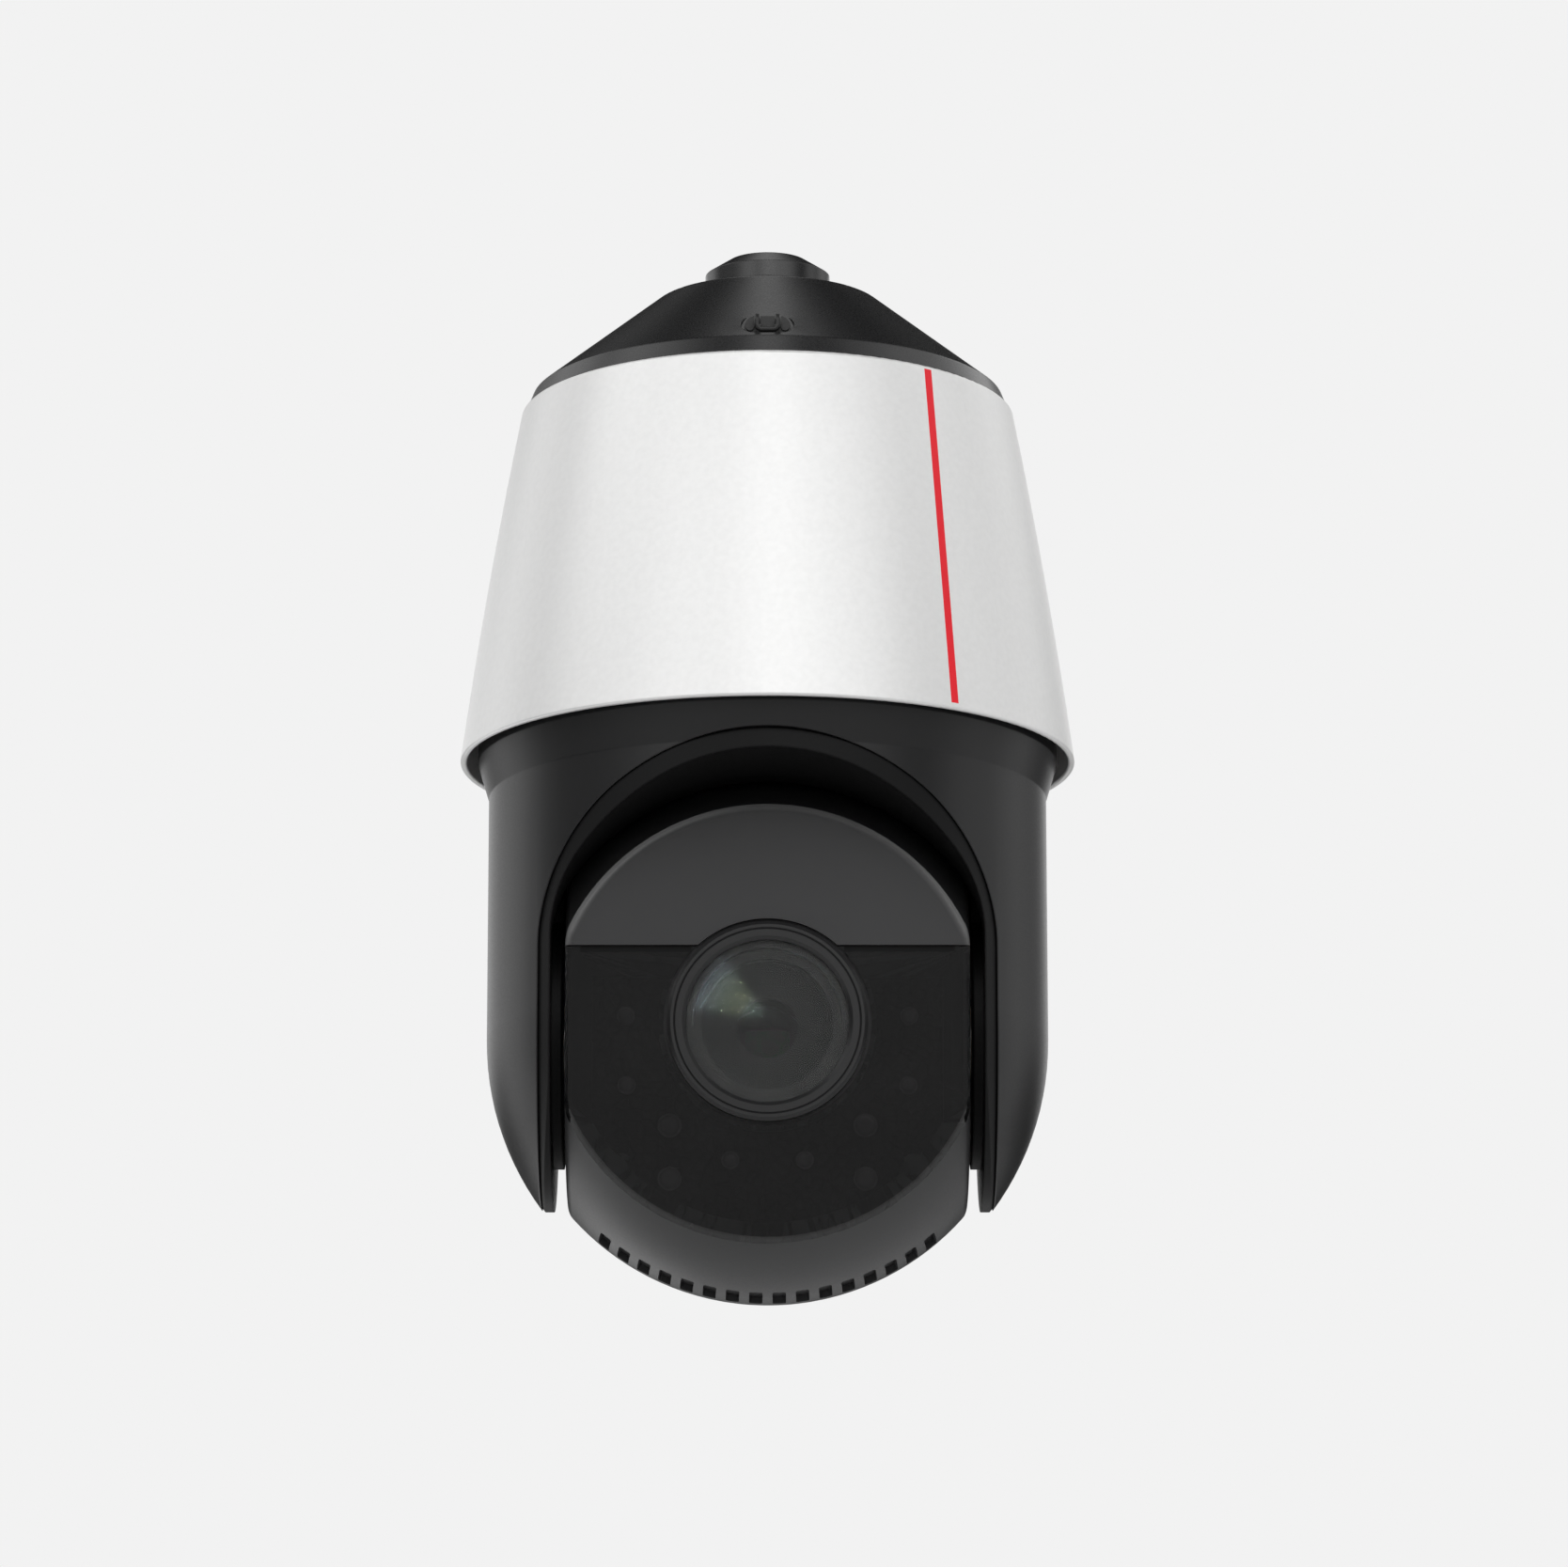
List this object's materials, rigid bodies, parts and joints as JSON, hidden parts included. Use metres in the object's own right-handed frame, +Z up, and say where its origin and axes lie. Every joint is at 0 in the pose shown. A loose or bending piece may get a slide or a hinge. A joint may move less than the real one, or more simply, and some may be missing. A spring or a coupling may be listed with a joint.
{
  "type": "security camera",
  "caption": "Hanging pan-tilt-zoom security camera: a black cone cap on a pipe boss, a white bulged sun shroud, and a yoke that holds a ball-shaped head with infrared lamps round the lens.",
  "frame": {"origin": "centre of the pipe thread's mouth, on top of the boss", "axes": "+Z up along the pipe and the pan axis, -Y the way the lens looks at rest, +X to the right as seen from in front"},
  "size_m": [0.2197, 0.2198, 0.3816],
  "materials": {
    "cast_black": "black powder coat with a fine texture",
    "shroud_white": "satin white moulding",
    "stripe_red": "smooth red inlay",
    "liner_black": "matte black moulding",
    "head_grey": "satin dark grey moulding",
    "face_grey": "matte grey",
    "window_dark": "polished, passes infrared light",
    "bezel_black": "black anodised",
    "cell_black": "matte black",
    "optical_glass": "coated",
    "rubber_black": "matte",
    "steel": "plain zinc finish",
    "black_steel": "black zinc finish",
    "bearing_steel": "ground",
    "brass": "machined",
    "gear_plastic": "moulded acetal",
    "board_green": "lacquered",
    "raw_aluminium": "as cast",
    "motor_dark": "black paint",
    "slip_ring": "moulded",
    "lamp_lens": "clear dark epoxy"
  },
  "bodies": {
    "base": {"pipe_boss": "cast_black", "boss_nut": "steel", "cable_grommet": "rubber_black", "top_cap": "cast_black", "rope_eye": "black_steel", "rope_eye_screws": "black_steel", "cap_gasket": "rubber_black", "cap_screws": "steel", "sun_shroud": "shroud_white", "shroud_stripe": "stripe_red", "base_housing": "raw_aluminium", "power_board": "board_green", "control_board": "board_green", "board_spacers": "brass", "board_screws": "steel", "pan_bearing_outer": "bearing_steel", "pan_motor_bracket": "steel", "pan_motor": "motor_dark", "slip_ring_stator": "slip_ring"},
    "pan_pinion": {"pan_pinion": "brass"},
    "yoke": {"yoke": "cast_black", "yoke_liner": "liner_black", "liner_screws": "black_steel", "pan_shaft": "steel", "shaft_screws": "steel", "pan_gear": "gear_plastic", "pan_nut": "steel", "pan_bearing_inner": "bearing_steel", "slip_ring_rotor": "slip_ring", "tilt_bush_left": "brass", "tilt_bush_right": "brass", "tilt_motor_bracket": "steel", "tilt_motor": "motor_dark"},
    "tilt_pinion": {"tilt_pinion": "brass"},
    "head": {"head_front_shell": "head_grey", "head_rear_shell": "head_grey", "head_seal": "rubber_black", "head_screws": "steel", "face_plate": "face_grey", "ir_window": "window_dark", "ir_board": "board_green", "ir_lamps": "lamp_lens", "lens_bezel": "bezel_black", "lens_glass": "optical_glass", "lens_barrel": "bezel_black", "front_lens": "optical_glass", "lens_retainer": "bezel_black", "iris_plate": "cell_black", "guide_rods": "black_steel", "sensor_holder": "cell_black", "sensor_board": "board_green", "tilt_hub_left": "raw_aluminium", "tilt_hub_right": "raw_aluminium", "hub_screws": "steel", "tilt_gear": "gear_plastic"},
    "zoom": {"zoom_cell": "cell_black", "zoom_lens": "optical_glass"},
    "focus": {"focus_cell": "cell_black", "focus_lens": "optical_glass"}
  },
  "joints": [
    {"name": "pan", "type": "hinge", "parent": "base", "child": "yoke", "pos_m": [0, 0, -0.1], "axis": [0, 0, 1], "continuous": true},
    {"name": "pan_pinion_spin", "type": "hinge", "parent": "base", "child": "pan_pinion", "pos_m": [0, 0.04693, -0.16], "axis": [0, 0, 1], "continuous": true},
    {"name": "tilt", "type": "hinge", "parent": "yoke", "child": "head", "pos_m": [0, 0, -0.2886], "axis": [1, 0, 0], "range_deg": [-23, 87]},
    {"name": "tilt_pinion_spin", "type": "hinge", "parent": "yoke", "child": "tilt_pinion", "pos_m": [-0.08, 0, -0.24918], "axis": [1, 0, 0], "range_deg": [-280, 75]},
    {"name": "zoom", "type": "slide", "parent": "head", "child": "zoom", "axis": [0, -0.9986, -0.0523], "range_m": [-0.013, 0.003]},
    {"name": "focus", "type": "slide", "parent": "head", "child": "focus", "axis": [0, -0.9986, -0.0523], "range_m": [-0.005, 0.005]}
  ],
  "couplings": [
    {"joint": "pan_pinion_spin", "follows": "pan", "ratio": -4},
    {"joint": "tilt_pinion_spin", "follows": "tilt", "ratio": -3.2}
  ]
}
